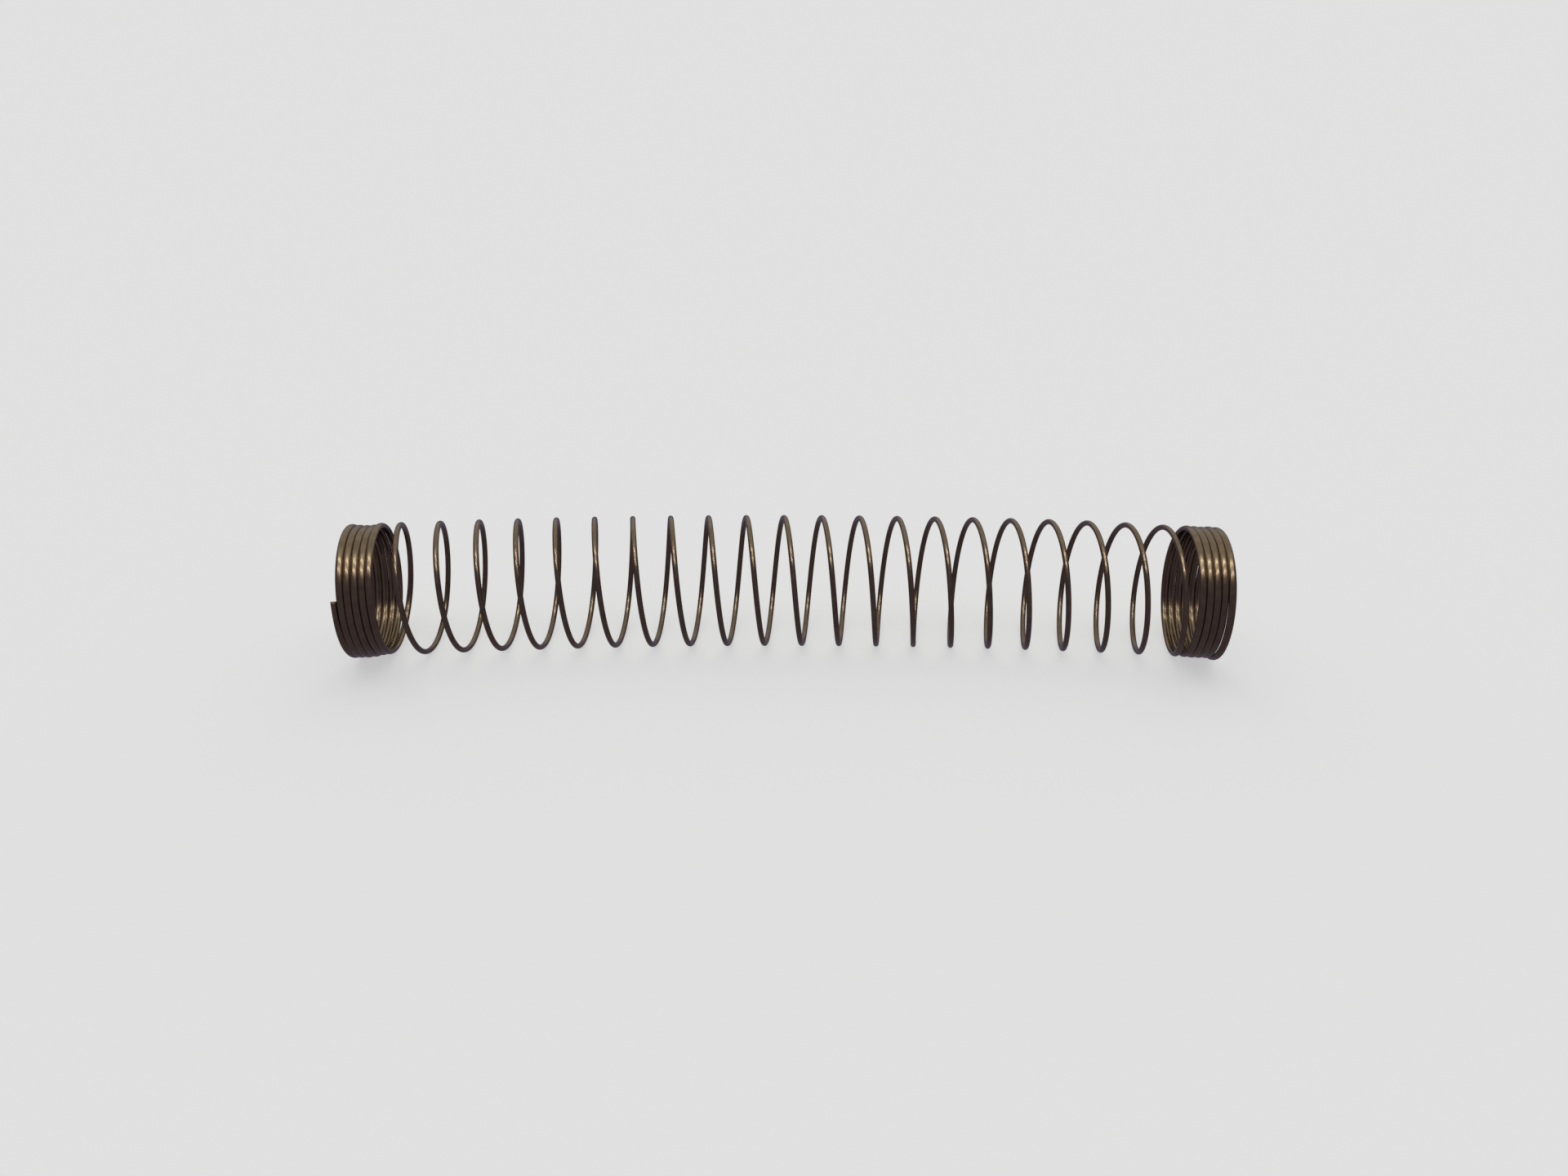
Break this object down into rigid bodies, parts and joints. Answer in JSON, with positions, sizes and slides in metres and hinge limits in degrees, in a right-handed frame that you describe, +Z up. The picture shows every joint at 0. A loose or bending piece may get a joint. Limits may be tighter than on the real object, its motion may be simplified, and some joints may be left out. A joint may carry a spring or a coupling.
{
  "type": "spring coil toy",
  "caption": "Wire spring toy lying on its side: a long open right-handed coil with a close-wound bunch of turns at each end.",
  "frame": {"origin": "below the middle of the whole coil's box, on the surface it lies on", "axes": "+X along the coil from the left end to the right end, +Y to the back, towards the bulge of its sideways bow, +Z up"},
  "size_m": [0.1652, 0.0296, 0.025],
  "materials": {
    "wire": "antique bronze patina, satin"
  },
  "bodies": {
    "left_end_coil": {"left_end_turn_1": "wire", "left_end_turn_2": "wire", "left_end_turn_3": "wire", "left_end_turn_4": "wire", "left_end_turn_5": "wire", "left_end_turn_6": "wire"},
    "turn_01_a": {"turn_01_a": "wire"},
    "turn_01_b": {"turn_01_b": "wire"},
    "turn_02_a": {"turn_02_a": "wire"},
    "turn_02_b": {"turn_02_b": "wire"},
    "turn_03_a": {"turn_03_a": "wire"},
    "turn_03_b": {"turn_03_b": "wire"},
    "turn_04_a": {"turn_04_a": "wire"},
    "turn_04_b": {"turn_04_b": "wire"},
    "turn_05_a": {"turn_05_a": "wire"},
    "turn_05_b": {"turn_05_b": "wire"},
    "turn_06_a": {"turn_06_a": "wire"},
    "turn_06_b": {"turn_06_b": "wire"},
    "turn_07_a": {"turn_07_a": "wire"},
    "turn_07_b": {"turn_07_b": "wire"},
    "turn_08_a": {"turn_08_a": "wire"},
    "turn_08_b": {"turn_08_b": "wire"},
    "turn_09_a": {"turn_09_a": "wire"},
    "turn_09_b": {"turn_09_b": "wire"},
    "turn_10_a": {"turn_10_a": "wire"},
    "turn_10_b": {"turn_10_b": "wire"},
    "turn_11_a": {"turn_11_a": "wire"},
    "turn_11_b": {"turn_11_b": "wire"},
    "turn_12_a": {"turn_12_a": "wire"},
    "turn_12_b": {"turn_12_b": "wire"},
    "turn_13_a": {"turn_13_a": "wire"},
    "turn_13_b": {"turn_13_b": "wire"},
    "turn_14_a": {"turn_14_a": "wire"},
    "turn_14_b": {"turn_14_b": "wire"},
    "turn_15_a": {"turn_15_a": "wire"},
    "turn_15_b": {"turn_15_b": "wire"},
    "turn_16_a": {"turn_16_a": "wire"},
    "turn_16_b": {"turn_16_b": "wire"},
    "turn_17_a": {"turn_17_a": "wire"},
    "turn_17_b": {"turn_17_b": "wire"},
    "turn_18_a": {"turn_18_a": "wire"},
    "turn_18_b": {"turn_18_b": "wire"},
    "turn_19_a": {"turn_19_a": "wire"},
    "turn_19_b": {"turn_19_b": "wire"},
    "turn_20_a": {"turn_20_a": "wire"},
    "turn_20_b": {"turn_20_b": "wire"},
    "right_end_coil": {"right_end_turn_1": "wire", "right_end_turn_2": "wire", "right_end_turn_3": "wire", "right_end_turn_4": "wire", "right_end_turn_5": "wire", "right_end_turn_6": "wire"}
  },
  "joints": [
    {"name": "stretch_01", "type": "slide", "parent": "turn_01_a", "child": "left_end_coil", "axis": [-0.9955, -0.0949, 0], "range_m": [-0.00208, 0.00451], "stiffness_N_per_m": 370},
    {"name": "side_bend_01", "type": "hinge", "parent": "turn_01_b", "child": "turn_01_a", "pos_m": [-0.06774, -0.00073, 0.01249], "axis": [-0.0174, -0.0016, -0.9998], "range_deg": [-6.05, 6.05], "stiffness_Nm_per_rad": 0.03},
    {"name": "stretch_02", "type": "slide", "parent": "turn_02_a", "child": "turn_01_b", "axis": [-0.9963, -0.0855, 0], "range_m": [-0.00461, 0.01001], "stiffness_N_per_m": 370},
    {"name": "arch_bend_02", "type": "hinge", "parent": "turn_02_b", "child": "turn_02_a", "pos_m": [-0.06064, -0.00012, 0.01249], "axis": [0.0807, -0.9967, 0], "range_deg": [-6.05, 0.05], "stiffness_Nm_per_rad": 0.03},
    {"name": "stretch_03", "type": "slide", "parent": "turn_03_a", "child": "turn_02_b", "axis": [-0.9971, -0.076, 0], "range_m": [-0.00461, 0.01001], "stiffness_N_per_m": 370},
    {"name": "side_bend_03", "type": "hinge", "parent": "turn_03_b", "child": "turn_03_a", "pos_m": [-0.05353, 0.00042, 0.01249], "axis": [-0.0174, -0.0012, -0.9998], "range_deg": [-6.05, 6.05], "stiffness_Nm_per_rad": 0.03},
    {"name": "stretch_04", "type": "slide", "parent": "turn_04_a", "child": "turn_03_b", "axis": [-0.9978, -0.0665, 0], "range_m": [-0.00461, 0.01001], "stiffness_N_per_m": 370},
    {"name": "arch_bend_04", "type": "hinge", "parent": "turn_04_b", "child": "turn_04_a", "pos_m": [-0.04642, 0.00089, 0.01249], "axis": [0.0618, -0.9981, 0], "range_deg": [-6.05, 0.05], "stiffness_Nm_per_rad": 0.03},
    {"name": "stretch_05", "type": "slide", "parent": "turn_05_a", "child": "turn_04_b", "axis": [-0.9984, -0.057, 0], "range_m": [-0.00461, 0.01001], "stiffness_N_per_m": 370},
    {"name": "side_bend_05", "type": "hinge", "parent": "turn_05_b", "child": "turn_05_a", "pos_m": [-0.0393, 0.0013, 0.01249], "axis": [-0.0174, -0.0009, -0.9998], "range_deg": [-6.05, 6.05], "stiffness_Nm_per_rad": 0.03},
    {"name": "stretch_06", "type": "slide", "parent": "turn_06_a", "child": "turn_05_b", "axis": [-0.9989, -0.0475, 0], "range_m": [-0.00461, 0.01001], "stiffness_N_per_m": 370},
    {"name": "arch_bend_06", "type": "hinge", "parent": "turn_06_b", "child": "turn_06_a", "pos_m": [-0.03218, 0.00164, 0.01249], "axis": [0.0428, -0.9991, 0], "range_deg": [-6.05, 0.05], "stiffness_Nm_per_rad": 0.03},
    {"name": "stretch_07", "type": "slide", "parent": "turn_07_a", "child": "turn_06_b", "axis": [-0.9993, -0.038, 0], "range_m": [-0.00461, 0.01001], "stiffness_N_per_m": 370},
    {"name": "side_bend_07", "type": "hinge", "parent": "turn_07_b", "child": "turn_07_a", "pos_m": [-0.02505, 0.00191, 0.01249], "axis": [-0.0174, -0.0006, -0.9998], "range_deg": [-6.05, 6.05], "stiffness_Nm_per_rad": 0.03},
    {"name": "stretch_08", "type": "slide", "parent": "turn_08_a", "child": "turn_07_b", "axis": [-0.9996, -0.0285, 0], "range_m": [-0.00461, 0.01001], "stiffness_N_per_m": 370},
    {"name": "arch_bend_08", "type": "hinge", "parent": "turn_08_b", "child": "turn_08_a", "pos_m": [-0.01792, 0.00211, 0.01249], "axis": [0.0238, -0.9997, 0], "range_deg": [-6.05, 0.05], "stiffness_Nm_per_rad": 0.03},
    {"name": "stretch_09", "type": "slide", "parent": "turn_09_a", "child": "turn_08_b", "axis": [-0.9998, -0.019, 0], "range_m": [-0.00461, 0.01001], "stiffness_N_per_m": 370},
    {"name": "side_bend_09", "type": "hinge", "parent": "turn_09_b", "child": "turn_09_a", "pos_m": [-0.0108, 0.00225, 0.01249], "axis": [-0.0175, -0.0002, -0.9998], "range_deg": [-6.05, 6.05], "stiffness_Nm_per_rad": 0.03},
    {"name": "stretch_10", "type": "slide", "parent": "turn_10_a", "child": "turn_09_b", "axis": [-1, -0.0095, 0], "range_m": [-0.00461, 0.01001], "stiffness_N_per_m": 370},
    {"name": "arch_bend_10", "type": "hinge", "parent": "turn_10_b", "child": "turn_10_a", "pos_m": [-0.00367, 0.00232, 0.01249], "axis": [0.0048, -1, 0], "range_deg": [-6, 0], "stiffness_Nm_per_rad": 0.03},
    {"name": "stretch_11", "type": "slide", "parent": "turn_10_b", "child": "turn_11_a", "axis": [1, 0, 0], "range_m": [-0.0046, 0.01], "stiffness_N_per_m": 370},
    {"name": "side_bend_11", "type": "hinge", "parent": "turn_11_a", "child": "turn_11_b", "pos_m": [0.00346, 0.00232, 0.01249], "axis": [0.0175, -0.0001, 0.9998], "range_deg": [-6, 6], "stiffness_Nm_per_rad": 0.03},
    {"name": "stretch_12", "type": "slide", "parent": "turn_11_b", "child": "turn_12_a", "axis": [1, -0.0095, 0], "range_m": [-0.00461, 0.01001], "stiffness_N_per_m": 370},
    {"name": "arch_bend_12", "type": "hinge", "parent": "turn_12_a", "child": "turn_12_b", "pos_m": [0.01059, 0.00225, 0.01249], "axis": [0.0143, 0.9999, 0], "range_deg": [-6.05, 0.05], "stiffness_Nm_per_rad": 0.03},
    {"name": "stretch_13", "type": "slide", "parent": "turn_12_b", "child": "turn_13_a", "axis": [0.9998, -0.019, 0], "range_m": [-0.00461, 0.01001], "stiffness_N_per_m": 370},
    {"name": "side_bend_13", "type": "hinge", "parent": "turn_13_a", "child": "turn_13_b", "pos_m": [0.01772, 0.00211, 0.01249], "axis": [0.0174, -0.0004, 0.9998], "range_deg": [-6.05, 6.05], "stiffness_Nm_per_rad": 0.03},
    {"name": "stretch_14", "type": "slide", "parent": "turn_13_b", "child": "turn_14_a", "axis": [0.9996, -0.0285, 0], "range_m": [-0.00461, 0.01001], "stiffness_N_per_m": 370},
    {"name": "arch_bend_14", "type": "hinge", "parent": "turn_14_a", "child": "turn_14_b", "pos_m": [0.02485, 0.00191, 0.01249], "axis": [0.0333, 0.9994, 0], "range_deg": [-6.05, 0.05], "stiffness_Nm_per_rad": 0.03},
    {"name": "stretch_15", "type": "slide", "parent": "turn_14_b", "child": "turn_15_a", "axis": [0.9993, -0.038, 0], "range_m": [-0.00461, 0.01001], "stiffness_N_per_m": 370},
    {"name": "side_bend_15", "type": "hinge", "parent": "turn_15_a", "child": "turn_15_b", "pos_m": [0.03197, 0.00164, 0.01249], "axis": [0.0174, -0.0007, 0.9998], "range_deg": [-6.05, 6.05], "stiffness_Nm_per_rad": 0.03},
    {"name": "stretch_16", "type": "slide", "parent": "turn_15_b", "child": "turn_16_a", "axis": [0.9989, -0.0475, 0], "range_m": [-0.00461, 0.01001], "stiffness_N_per_m": 370},
    {"name": "arch_bend_16", "type": "hinge", "parent": "turn_16_a", "child": "turn_16_b", "pos_m": [0.0391, 0.0013, 0.01249], "axis": [0.0523, 0.9986, 0], "range_deg": [-6.05, 0.05], "stiffness_Nm_per_rad": 0.03},
    {"name": "stretch_17", "type": "slide", "parent": "turn_16_b", "child": "turn_17_a", "axis": [0.9984, -0.057, 0], "range_m": [-0.00461, 0.01001], "stiffness_N_per_m": 370},
    {"name": "side_bend_17", "type": "hinge", "parent": "turn_17_a", "child": "turn_17_b", "pos_m": [0.04621, 0.00089, 0.01249], "axis": [0.0174, -0.0011, 0.9998], "range_deg": [-6.05, 6.05], "stiffness_Nm_per_rad": 0.03},
    {"name": "stretch_18", "type": "slide", "parent": "turn_17_b", "child": "turn_18_a", "axis": [0.9978, -0.0665, 0], "range_m": [-0.00461, 0.01001], "stiffness_N_per_m": 370},
    {"name": "arch_bend_18", "type": "hinge", "parent": "turn_18_a", "child": "turn_18_b", "pos_m": [0.05333, 0.00042, 0.01249], "axis": [0.0712, 0.9975, 0], "range_deg": [-6.05, 0.05], "stiffness_Nm_per_rad": 0.03},
    {"name": "stretch_19", "type": "slide", "parent": "turn_18_b", "child": "turn_19_a", "axis": [0.9971, -0.076, 0], "range_m": [-0.00461, 0.01001], "stiffness_N_per_m": 370},
    {"name": "side_bend_19", "type": "hinge", "parent": "turn_19_a", "child": "turn_19_b", "pos_m": [0.06044, -0.00012, 0.01249], "axis": [0.0174, -0.0014, 0.9998], "range_deg": [-6.05, 6.05], "stiffness_Nm_per_rad": 0.03},
    {"name": "stretch_20", "type": "slide", "parent": "turn_19_b", "child": "turn_20_a", "axis": [0.9963, -0.0855, 0], "range_m": [-0.00415, 0.00901], "stiffness_N_per_m": 370},
    {"name": "arch_bend_20", "type": "hinge", "parent": "turn_20_a", "child": "turn_20_b", "pos_m": [0.06748, -0.00073, 0.01249], "axis": [0.0901, 0.9959, 0], "range_deg": [-6.05, 0.05], "stiffness_Nm_per_rad": 0.03},
    {"name": "stretch_21", "type": "slide", "parent": "turn_20_b", "child": "right_end_coil", "axis": [0.9955, -0.0946, 0], "range_m": [-0.00231, 0.00501], "stiffness_N_per_m": 370}
  ],
  "couplings": [
    {"joint": "stretch_01", "follows": "stretch_11", "ratio": 0.45},
    {"joint": "side_bend_01", "follows": "side_bend_11", "ratio": 1},
    {"joint": "stretch_02", "follows": "stretch_11", "ratio": 1},
    {"joint": "arch_bend_02", "follows": "arch_bend_10", "ratio": 1},
    {"joint": "stretch_03", "follows": "stretch_11", "ratio": 1},
    {"joint": "side_bend_03", "follows": "side_bend_11", "ratio": 1},
    {"joint": "stretch_04", "follows": "stretch_11", "ratio": 1},
    {"joint": "arch_bend_04", "follows": "arch_bend_10", "ratio": 1},
    {"joint": "stretch_05", "follows": "stretch_11", "ratio": 1},
    {"joint": "side_bend_05", "follows": "side_bend_11", "ratio": 1},
    {"joint": "stretch_06", "follows": "stretch_11", "ratio": 1},
    {"joint": "arch_bend_06", "follows": "arch_bend_10", "ratio": 1},
    {"joint": "stretch_07", "follows": "stretch_11", "ratio": 1},
    {"joint": "side_bend_07", "follows": "side_bend_11", "ratio": 1},
    {"joint": "stretch_08", "follows": "stretch_11", "ratio": 1},
    {"joint": "arch_bend_08", "follows": "arch_bend_10", "ratio": 1},
    {"joint": "stretch_09", "follows": "stretch_11", "ratio": 1},
    {"joint": "side_bend_09", "follows": "side_bend_11", "ratio": 1},
    {"joint": "stretch_10", "follows": "stretch_11", "ratio": 1},
    {"joint": "stretch_12", "follows": "stretch_11", "ratio": 1},
    {"joint": "arch_bend_12", "follows": "arch_bend_10", "ratio": 1},
    {"joint": "stretch_13", "follows": "stretch_11", "ratio": 1},
    {"joint": "side_bend_13", "follows": "side_bend_11", "ratio": 1},
    {"joint": "stretch_14", "follows": "stretch_11", "ratio": 1},
    {"joint": "arch_bend_14", "follows": "arch_bend_10", "ratio": 1},
    {"joint": "stretch_15", "follows": "stretch_11", "ratio": 1},
    {"joint": "side_bend_15", "follows": "side_bend_11", "ratio": 1},
    {"joint": "stretch_16", "follows": "stretch_11", "ratio": 1},
    {"joint": "arch_bend_16", "follows": "arch_bend_10", "ratio": 1},
    {"joint": "stretch_17", "follows": "stretch_11", "ratio": 1},
    {"joint": "side_bend_17", "follows": "side_bend_11", "ratio": 1},
    {"joint": "stretch_18", "follows": "stretch_11", "ratio": 1},
    {"joint": "arch_bend_18", "follows": "arch_bend_10", "ratio": 1},
    {"joint": "stretch_19", "follows": "stretch_11", "ratio": 1},
    {"joint": "side_bend_19", "follows": "side_bend_11", "ratio": 1},
    {"joint": "stretch_20", "follows": "stretch_11", "ratio": 0.9},
    {"joint": "arch_bend_20", "follows": "arch_bend_10", "ratio": 1},
    {"joint": "stretch_21", "follows": "stretch_11", "ratio": 0.5}
  ]
}
